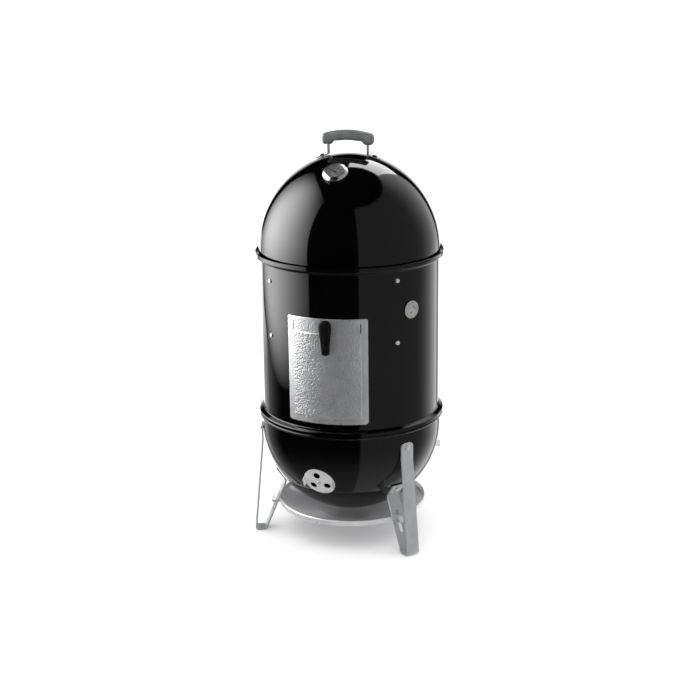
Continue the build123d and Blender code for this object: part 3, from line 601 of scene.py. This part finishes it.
def panel(name, corners, light):
    """A light panel in the camera-aligned frame, seen only in reflections."""
    turned = Matrix.Rotation(turn, 4, "Z")
    mesh = bpy.data.meshes.new(name)
    mesh.from_pydata([turned @ Vector(c) for c in corners], [], [tuple(range(len(corners)))])
    obj = bpy.data.objects.new(name, mesh)
    scene.collection.objects.link(obj)
    material = bpy.data.materials.new(name)
    material.use_nodes = True
    tree = material.node_tree
    tree.nodes.clear()
    emission = tree.nodes.new("ShaderNodeEmission")
    out = tree.nodes.new("ShaderNodeOutputMaterial")
    tree.links.new(emission.outputs[0], out.inputs["Surface"])
    position = tree.nodes.new("ShaderNodeNewGeometry").outputs["Position"]
    rotate = tree.nodes.new("ShaderNodeVectorRotate")
    rotate.rotation_type = "Z_AXIS"
    rotate.inputs["Angle"].default_value = -turn
    tree.links.new(position, rotate.inputs["Vector"])
    split = tree.nodes.new("ShaderNodeSeparateXYZ")
    tree.links.new(rotate.outputs["Vector"], split.inputs["Vector"])
    strength = light(Maths(tree), *split.outputs)
    if isinstance(strength, (int, float)):
        emission.inputs["Strength"].default_value = strength
    else:
        tree.links.new(strength, emission.inputs["Strength"])
    obj.data.materials.append(material)
    obj.visible_camera = False
    obj.visible_diffuse = False
    obj.visible_shadow = False


def left_light(m, x, y, z):
    """Brightest at its middle, fading to its front edge, its top and its foot."""
    across = m.op("SUBTRACT", y, 0.25)
    across = m.op("POWER", 2.718, m.times(across, across, -1.0))
    up = m.times(m.step(z, -0.05, 0.28), m.plus(0.42, m.times(0.4, m.step(z, 0.2, 1.1))))
    down = m.plus(0.12, m.times(0.88, m.fall(z, 1.2, 3.6)))
    return m.times(10.5, up, down, m.plus(0.08, m.times(0.92, across)))


make_world()
LEFT_X = -1.5
left_corners = [(LEFT_X, -1.25, 0.0), (LEFT_X, 2.09, 0.0), (LEFT_X, 2.09, 3.35), (LEFT_X, -1.05, 3.54)]
panel("panel_left", left_corners, left_light)
TOP_Z, TOP_LIGHT = 2.6, 6.0
window = [(-0.01, 0.906), (0.409, 0.917), (0.90, 0.765), (1.79, 2.70)]
window += [(1.237, 2.761), (0.64, 2.73), (0.06, 1.48)]
panel("panel_top", [(x, y, TOP_Z) for x, y in window], lambda m, x, y, z: TOP_LIGHT)

FLOOR_RADIUS, FLOOR_SIDES = 90.0, 96
floor_mesh = bpy.data.meshes.new("floor")
rim_angles = [2 * pi * k / FLOOR_SIDES for k in range(FLOOR_SIDES)]
rim = [(FLOOR_RADIUS * cos(a), FLOOR_RADIUS * sin(a), 0) for a in rim_angles]
floor_mesh.from_pydata(rim, [], [tuple(range(FLOOR_SIDES))])
floor = bpy.data.objects.new("floor", floor_mesh)
scene.collection.objects.link(floor)
floor_material = bpy.data.materials.new("floor")
floor_material.use_nodes = True
floor_shader = floor_material.node_tree.nodes["Principled BSDF"]
floor_shader.inputs["Base Color"].default_value = (0.93, 0.93, 0.93, 1)
floor_shader.inputs["Roughness"].default_value = 0.9
floor_shader.inputs["Specular IOR Level"].default_value = 0.0
floor_mesh.materials.append(floor_material)
floor.visible_glossy = False


# ---------------------------------------------------------------- base
BOWL_R, BOWL_Z, BOWL_T = 229.0, 292.0, 1.5
COLLAR_TOP, LUG_TOP, LUG_HEIGHT = 335.4, 233.6, 4.0
PIVOT_HOLE, VENT_HOLE, VENT_REACH, VENT_ANGLES = 2.6, 8.8, 22, (96, 216, 336)
SHIELD_R, SHIELD_T, SHIELD_TOP = 191.0, 1.2, 86.4


def build_bowl():
    """The enamelled bowl with its collar, bead, vents and the grate's lugs."""
    inner = BOWL_R - BOWL_T
    outer = arc(0, BOWL_Z, BOWL_R, -90, 0, 56)
    outer += arc(232, 321.7, 4.0, -138.6, 138.6, 14)
    outer += [(BOWL_R, COLLAR_TOP - 0.5), (BOWL_R - 0.4, COLLAR_TOP)]
    outer += [(inner + 0.4, COLLAR_TOP), (inner, COLLAR_TOP - 0.5)]
    inside = arc(0, BOWL_Z, inner, 0, -90, 40)
    profile = split_long(outer + inside, 9)
    bowl = lathe("bowl_shell", profile, 216)
    cutters = []
    for name in ("front", "right", "left"):
        cutters += vent_cutters(joint_frame(f"bowl_damper_{name}_turn"))
    drill(bowl, cutters)
    reach = sqrt((BOWL_R - 0.8) ** 2 - (BOWL_Z - LUG_TOP + LUG_HEIGHT) ** 2)
    lugs = []
    for azimuth in (-10, 110, 230):
        verts, faces = box_data((-11, -14, -LUG_HEIGHT), (11, 0, 0))
        spin = Matrix.Rotation(radians(azimuth), 3, "Z")
        lugs.append(([spin @ Vector((v[0], -reach - v[1], v[2] + LUG_TOP)) for v in verts], faces))
    verts, faces = joined(lugs)
    lug_obj = mesh_object("bowl_lugs", verts, faces)
    bevel(lug_obj, 0.8)
    place(bowl, "base", "enamel", "charcoal_bowl")
    place(lug_obj, "base", "enamel", "charcoal_bowl")


def vent_cutters(where):
    """A damper's pivot hole and three vents, in its joint's frame."""
    cutters = [cutter_rod(PIVOT_HOLE, 60, where)]
    for angle in VENT_ANGLES:
        x, y = VENT_REACH * cos(radians(angle)), VENT_REACH * sin(radians(angle))
        cutters.append(cutter_rod(VENT_HOLE, 60, where, x, y))
    return cutters


def build_shield():
    """The dished pan, with a rim that is folded over and down."""
    rim = SHIELD_R - SHIELD_T / 2
    inner_rim = rim - 3.4
    corners = [(0.001, 49), (90, 51), (150, 61), (inner_rim, 77.4)]
    corners += [(inner_rim, SHIELD_TOP), (rim, SHIELD_TOP), (rim, 75)]
    path = rounded_path(corners, [60, 60, 3, 1.7, 1.7], 8)
    path = [(0.0, path[0][1])] + path[1:]
    outline = thickened(path, SHIELD_T)
    outline = [(max(0.0, r), z) for r, z in outline]
    shield = lathe("heat_shield_pan", split_long(outline[:-1], 7), 192)
    place(shield, "base", "shield_aluminium", "heat_shield")


# ---------------------------------------------------------------- drum
DRUM_R, FLARE_R, DRUM_T = 224.8, 236.4, 1.2
DOORWAY_Z, DOORWAY_HALF_WIDTH, DOORWAY_HALF_HEIGHT = 485, 90, 119
GROMMET_AZIMUTH, GROMMET_Z, GROMMET_HOLE = radians(56.2), 0.629, 17


def grommet_frame():
    """The frame of the hole for the grommet: z out of the wall."""
    normal = Vector((sin(GROMMET_AZIMUTH), -cos(GROMMET_AZIMUTH), 0))
    level = (cos(GROMMET_AZIMUTH), sin(GROMMET_AZIMUTH), 0)
    return local_frame(normal * DRUM_R * MM + Vector((0, 0, GROMMET_Z)), normal, level)


def build_drum():
    """The enamelled tube with a flare at each end, and openings for the door and the grommet."""
    wall, flare = DRUM_R - DRUM_T / 2, FLARE_R - DRUM_T / 2
    corners = [(flare, 326.6), (flare, 333.5), (wall, 339), (wall, 728), (flare, 734.5), (flare, 745)]
    path = rounded_path(corners, [2.5, 3, 3, 2.5], 8)
    drum = lathe("drum_shell", split_long(thickened(path, DRUM_T), 12), 216)
    doorway = super_ring(DOORWAY_HALF_WIDTH, DOORWAY_HALF_HEIGHT, 24, 64)
    verts, faces = loft_data([[(x, y, z + DOORWAY_Z) for x, z in doorway] for y in (-300, -150)])
    opening = mesh_object("cutter", verts, faces)
    drill(drum, [opening, cutter_rod(GROMMET_HOLE, 30, grommet_frame())])
    place(drum, "middle", "enamel", "middle_section")


def build_grommet():
    """The silicone plug: a stepped disc with a raised ring, a slit and a probe hole."""
    where = grommet_frame()
    profile = [(0, -8), (19.5, -8), (20.3, -7.2), (20.3, -3.4), (19.5, -2.6)]
    profile += [(16.95, -2.6), (16.95, 1.3), (21.0, 1.3)]
    profile += arc(20.6, 2.6, 1.2, -60, 80, 6) + [(18.4, 4.0), (17.9, 4.3), (17.7, 5.4)]
    profile += arc(16.6, 5.2, 1.0, 0, 90, 5)
    profile += [(15.2, 6.2), (14.9, 5.8), (14.2, 5.8), (13.9, 6.2), (0, 6.2)]
    grommet = lathe("grommet_plug", split_long(profile, 4), 96, 30, where)
    spin = Matrix.Rotation(radians(-48), 3, "Z")
    outline = [spin @ Vector((x, y, 0)) + Vector((5.0, 6.0, 0)) for x, y in super_ring(7.2, 1.1, 3, 24)]
    verts, faces = loft_data([[p + Vector((0, 0, z)) for p in outline] for z in (3.2, 12)])
    slit = mesh_object("cutter", verts, faces, frame_matrix=where)
    drill(grommet, [slit, cutter_rod(2.5, 60, where, -5.5, -6.0)], 30)
    place(grommet, "middle", "silicone", "temperature_grommet")


# ---------------------------------------------------------------- fuel door
DOOR_IN, DOOR_T = 225.6, 1.4
DOOR_R = DOOR_IN + DOOR_T
DOOR_BOTTOM, DOOR_TOP, DOOR_HALF = 355.0, 620.0, 100.0
SLIT_LOW, SLIT_HIGH, SLIT_HALF = 585.0, 609.0, 1.05
SLIT_X = DOOR_R * sin(radians(21.7))
LATCH_X, LATCH_Z, LATCH_TURN = 4.0, 595.0, 1.0
PANEL_RISE, MAX_RISE = 1.7, 2.45
DOOR_COLUMNS, DOOR_ROWS = 216, 276


def door_half_width(z):
    """Half the sheet's width at a height: its corners are round, the lower ones more so."""
    edge, corner = min((z - DOOR_BOTTOM, 8.0), (DOOR_TOP - z, 3.5))
    if edge >= corner:
        return DOOR_HALF
    return DOOR_HALF - corner + sqrt(max(0.0, corner**2 - (corner - edge) ** 2))


def door_panel_mask(x, z):
    """1 on the raised panel, 0 outside it."""
    across = smoothstep(84.8, 83.2, abs(x)) if abs(x) > 83.2 else 1.0
    up = smoothstep(370.6, 372.4, z) * (1 - smoothstep(581.2, 582.8, z))
    return across * up


def stucco(x, z):
    """The embossing's height: round pebbles with fine grain."""
    near = noise.voronoi(Vector((x / 3.6, z / 3.6, 3.7)))[0]
    pebble = 1 - min(1.0, near[0] / 0.72) ** 2
    return (pebble - 0.5) * 0.54 + noise.noise(Vector((x / 1.7, z / 1.7, 9.1))) * 0.18


def door_outer_rise(x, z):
    """Height of the outer face: raised panel, embossing, a slight sag and the crease above it."""
    mask = door_panel_mask(x, z)
    band = smoothstep(89.5, 87.0, abs(x)) if abs(x) > 87.0 else 1.0
    band *= smoothstep(584.5, 586.5, z) * (1 - smoothstep(612.0, 615.5, z))
    rough = mask + 0.85 * band + 0.12 * (1 - mask) * (1 - band)
    rough *= smoothstep(11.0, 14.0, sqrt((x - LATCH_X) ** 2 + (z - LATCH_Z) ** 2))
    sag = noise.noise(Vector((x / 60, z / 75, 1.3))) * 0.5 * mask
    crease = smoothstep(579.5, 582.0, z) - smoothstep(582.0, 585.0, z)
    ridge = 0.2 * crease * (1 if abs(x) < 84 else 0)
    rise = min(MAX_RISE, PANEL_RISE * mask + rough * stucco(x, z) + sag + ridge)
    edge = min(DOOR_HALF - abs(x), z - DOOR_BOTTOM, DOOR_TOP - z)
    if edge < 1.2:
        rise -= 0.25 * (1 - edge / 1.2) ** 2
    return rise


def door_grid():
    """Heights and width fractions of the sheet's grid, with lines along the slits' edges."""
    heights = [DOOR_BOTTOM + (DOOR_TOP - DOOR_BOTTOM) * k / DOOR_ROWS for k in range(DOOR_ROWS + 1)]
    for target in (SLIT_LOW, SLIT_HIGH):
        k = min(range(DOOR_ROWS + 1), key=lambda i: abs(heights[i] - target))
        heights[k] = target
    fractions = [2 * k / DOOR_COLUMNS - 1 for k in range(DOOR_COLUMNS + 1)]
    for target in (SLIT_X - SLIT_HALF, SLIT_X + SLIT_HALF):
        k = min(range(DOOR_COLUMNS + 1), key=lambda i: abs(fractions[i] * DOOR_HALF - target))
        fractions[k] = target / DOOR_HALF
        fractions[DOOR_COLUMNS - k] = -target / DOOR_HALF
    return heights, fractions


def build_door():
    """The stucco-embossed sheet: its two faces, joined round its edges and its slits."""
    heights, fractions = door_grid()
    verts, index = [], {}
    for side in ("out", "in"):
        for j, z in enumerate(heights):
            half = door_half_width(z)
            for i, fraction in enumerate(fractions):
                x = fraction * half
                if side == "out":
                    r = DOOR_R + door_outer_rise(x, z)
                else:
                    r = DOOR_IN + 1.6 * door_panel_mask(x, z)
                angle = asin(x / DOOR_R)
                index[side, i, j] = len(verts)
                verts.append((r * sin(angle), -r * cos(angle), z))

    def kept(i, j):
        if not (0 <= i < DOOR_COLUMNS and 0 <= j < DOOR_ROWS):
            return False
        x = (fractions[i] + fractions[i + 1]) / 2 * DOOR_HALF
        z = (heights[j] + heights[j + 1]) / 2
        return not (SLIT_LOW < z < SLIT_HIGH and abs(abs(x) - SLIT_X) < SLIT_HALF)

    faces = []
    for j in range(DOOR_ROWS):
        for i in range(DOOR_COLUMNS):
            if not kept(i, j):
                continue
            corners = ((i, j), (i + 1, j), (i + 1, j + 1), (i, j + 1))
            beyond = ((i, j - 1), (i + 1, j), (i, j + 1), (i - 1, j))
            faces.append([index["out", a, b] for a, b in corners])
            faces.append([index["in", a, b] for a, b in corners][::-1])
            for k in range(4):
                if not kept(*beyond[k]):
                    a, b = corners[k], corners[(k + 1) % 4]
                    faces.append([index["out", *a], index["in", *a], index["in", *b], index["out", *b]])
    door = mesh_object("door_panel", verts, faces, 60)
    drill(door, [cutter_rod(4.05, 30, joint_frame("latch_turn"))], 60)
    place(door, "door", "door_aluminium", "access_door")


def build_door_hooks():
    """Two folded tabs behind the sheet that hook over the opening's lower edge."""
    hooks = []
    z = 367.5
    for x in (-45, 45):
        front = -sqrt(DOOR_IN**2 - x**2) - 0.4
        back = front + 19
        outline = [(front, z + 2), (back - 1.2, z + 2), (back, z + 0.8), (back, z - 9)]
        outline += [(back - 2, z - 9), (back - 2, z), (front, z)]
        hooks.append(loft_data([[(x + s, y, h) for y, h in outline] for s in (-10, 10)]))
    obj = mesh_object("door_hooks", *joined(hooks))
    bevel(obj, 0.4)
    place(obj, "door", "door_aluminium", "access_door")


LATCH_BASE_Y = -(DOOR_R + 0.4)
LEVER_UP, LEVER_LENGTH, LEVER_CENTRE, RIB_LIMIT = 25.0, 87.0, 15.2, 21.5


def lever_bow(v):
    """How far the lever's middle line stands out, v above the spindle."""
    return 0.9 * cos((v - 5) / 26)


def lever_half_thickness(v):
    """Half the lever's thickness, which falls towards its tail."""
    return 7.9 - 2.4 * smoothstep(10, -50, v)


def lever_data():
    """The lever's body: rings from its rounded head down to its tail."""
    sections = []
    steps = 40
    for k in range(steps + 1):
        t = k / steps
        v = LEVER_UP - LEVER_LENGTH * t
        cap = 1.0
        if v > 13:
            cap = sqrt(max(0.004, 1 - ((v - 13) / 12) ** 2))
        elif v < -55:
            cap = sqrt(max(0.004, 1 - ((-55 - v) / 7) ** 2))
        half = (15.7 - 5.7 * smoothstep(14, -53, v)) * cap
        thick = lever_half_thickness(v) * (0.35 + 0.65 * cap)
        centre = LEVER_CENTRE + lever_bow(v) - 0.6 * t
        ring = super_ring(half, thick, 3.0, 36)
        sections.append([(x, LATCH_BASE_Y - centre + y, LATCH_Z + v) for x, y in ring])
    return loft_data(sections)


def lever_rib_data():
    """A low rib along the middle of the lever's face."""
    sections = []
    steps = 24
    for k in range(steps + 1):
        t = k / steps
        v = 14.0 - 62.0 * t
        cap = sqrt(max(0.003, 1 - (2 * t - 1) ** 4))
        face = LEVER_CENTRE + lever_bow(v) - 0.6 * (LEVER_UP - v) / 84 + lever_half_thickness(v)
        ring = super_ring(3.4 * cap, 1.5 * cap, 2.4, 20)
        sections.append([(x, LATCH_BASE_Y - min(face, RIB_LIMIT) + y, LATCH_Z + v) for x, y in ring])
    return loft_data(sections)


def build_latch():
    """The moulded lever: a broad rounded head that tapers to a narrow tail, on a round boss."""
    where = local_frame((0, LATCH_BASE_Y * MM, LATCH_Z * MM), (0, -1, 0), (1, 0, 0))
    boss_v, boss_f = lathe_data([(4.0, 0), (9.4, 0), (9.8, 0.4), (9.8, 9), (4.0, 9)], 64)
    boss_v = [where @ (Vector(v) * MM) / MM for v in boss_v]
    verts, faces = joined([lever_data(), lever_rib_data(), (boss_v, boss_f)])
    spin = Matrix.Rotation(radians(LATCH_TURN), 3, "Z")
    lever = mesh_object("latch_lever", [spin @ Vector(v) for v in verts], faces, 50)
    place(lever, "latch", "nylon_black", "door_latch_handle")


# ---------------------------------------------------------------- lid
DOME_R, DOME_H, DOME_Z, CROWN_R, DOME_T = 227.5, 241.5, 742.0, 218.0, 1.5


def build_lid():
    """The enamelled dome: a crown on steeper sides, with a rolled lower edge and vents."""
    crown_z = DOME_H - CROWN_R
    side_r = (DOME_R**2 + crown_z**2 - CROWN_R**2) / (2 * (DOME_R - CROWN_R))
    side_x = DOME_R - side_r
    join = degrees(atan2(crown_z, -side_x))
    edge = 731.4
    outer = [(DOME_R - 0.4, edge), (DOME_R, edge + 0.4)] + arc(side_x, DOME_Z, side_r, 0, join, 26)
    outer += arc(0, DOME_Z + crown_z, CROWN_R, join, 90, 34)[1:]
    outer[-1] = (0.0, outer[-1][1])
    inside = arc(0, DOME_Z + crown_z, CROWN_R - DOME_T, 90, join, 26)
    inside[0] = (0.0, inside[0][1])
    inside += arc(side_x, DOME_Z, side_r - DOME_T, join, 0, 20)[1:]
    inside += [(DOME_R - DOME_T, edge + 0.4), (DOME_R - DOME_T + 0.4, edge)]
    lid = lathe("lid_dome", split_long(outer + inside, 8), 216)
    drill(lid, vent_cutters(joint_frame("lid_damper_turn")))
    place(lid, "lid", "enamel", "lid")


def build_grip():
    """The moulded grip: an arched bar with deep drooping ends and finger relief below."""
    sections = []
    steps = 72
    half = 65.0
    for k in range(steps + 1):
        x = -half + 2 * half * k / steps
        a = abs(x)
        end = 1.0
        if a > half - 7:
            end = sqrt(max(0.01, 1 - ((a - half + 7) / 7) ** 2))
        top = 1041.0 - 9.5 * (a / half) ** 2
        bottom = 1015.0 - 9.0 * smoothstep(33, 45, a) + 1.2 * cos(pi * min(a, 33) / 33)
        depth = 13.9 - 1.6 * smoothstep(20, 44, a) + 1.2 * smoothstep(46, 60, a)
        middle, tall = (top + bottom) / 2, (top - bottom) / 2
        ring = super_ring(depth * (0.45 + 0.55 * end), tall * (0.30 + 0.70 * end), 3.1, 40)
        sections.append([(x, y, middle + z) for y, z in ring])
    verts, faces = loft_data(sections)
    grip = mesh_object("handle_grip", verts, faces, 50)
    place(grip, "lid", "nylon_grey", "lid_handle_grip")


def text_data(word, size, matrix, height):
    """A flat raised number as vertices and faces in the given frame, in millimetres."""
    curve = bpy.data.curves.new("number", "FONT")
    curve.body = word
    curve.size = size
    curve.align_x, curve.align_y = "CENTER", "CENTER"
    curve.extrude = height / 2
    curve.offset = 0.09
    obj = bpy.data.objects.new("number", curve)
    scene.collection.objects.link(obj)
    bpy.context.view_layer.update()
    mesh = obj.to_mesh()
    verts = [matrix @ v.co for v in mesh.vertices]
    faces = [tuple(p.vertices) for p in mesh.polygons]
    obj.to_mesh_clear()
    bpy.data.objects.remove(obj)
    return verts, faces


def build_thermometer():
    """A turned chrome bezel and a dial with ticks and numbers."""
    where = joint_frame("thermometer_needle_turn")
    profile = [(0, 0.4), (30.4, 0.4)] + arc(30.2, 1.2, 0.8, -90, 0, 4) + [(31.0, 3.2)]
    profile += arc(26.2, 4.0, 4.8, 8, 62, 8) + arc(25.0, 9.6, 1.9, 40, 120, 6)
    profile += [(23.3, 11.0), (23.1, 10.6), (23.1, 5.0), (0, 5.0)]
    case = lathe("thermometer_bezel", split_long(profile, 5), 128, 32, where)
    place(case, "lid", "chrome_bezel", "thermometer_case")
    disc = [(1.05, 5.1), (22.9, 5.1), (23.0, 5.3), (23.0, 5.9), (22.8, 6.1), (1.05, 6.1)]
    dial = lathe("thermometer_face", split_long(disc, 4), 96, 32, where)
    place(dial, "lid", "dial_face", "thermometer_dial")
    parts = []
    ticks, face_z, mark_height = 28, 6.1, 0.12
    for k in range(ticks + 1):
        angle = radians(225 - 270 * k / ticks)
        long_tick = k % 4 == 0
        inner, half = (17.8, 0.65) if long_tick else (19.8, 0.32)
        spin = Matrix.Rotation(angle, 4, "Z")
        verts, faces = box_data((inner, -half, face_z), (22.0, half, face_z + mark_height))
        parts.append(([spin @ Vector(v) for v in verts], faces))
        if long_tick:
            middle = Vector((13.6 * cos(angle), 13.6 * sin(angle), face_z + mark_height / 2))
            label = str(100 + 50 * (k // 4))
            parts.append(text_data(label, 5.2, Matrix.Translation(middle), mark_height))
    marks = mesh_object("thermometer_marks", *joined(parts), 30, where)
    place(marks, "lid", "needle_black")


build_bowl()
build_shield()
build_drum()
build_grommet()
build_door()
build_door_hooks()
build_latch()
build_lid()
build_grip()
build_thermometer()

EDGE_WIDTHS = {
    "leg_front_left": 0.7,
    "leg_front_right": 0.7,
    "leg_rear": 0.7,
    "lid_handle_bracket": 0.5,
    "heat_shield_tabs": 0.3,
    "bowl_damper_front": 0.25,
    "bowl_damper_right": 0.25,
    "bowl_damper_left": 0.25,
    "lid_damper": 0.25,
}
for name, width in EDGE_WIDTHS.items():
    bevel(nodes[name], width)
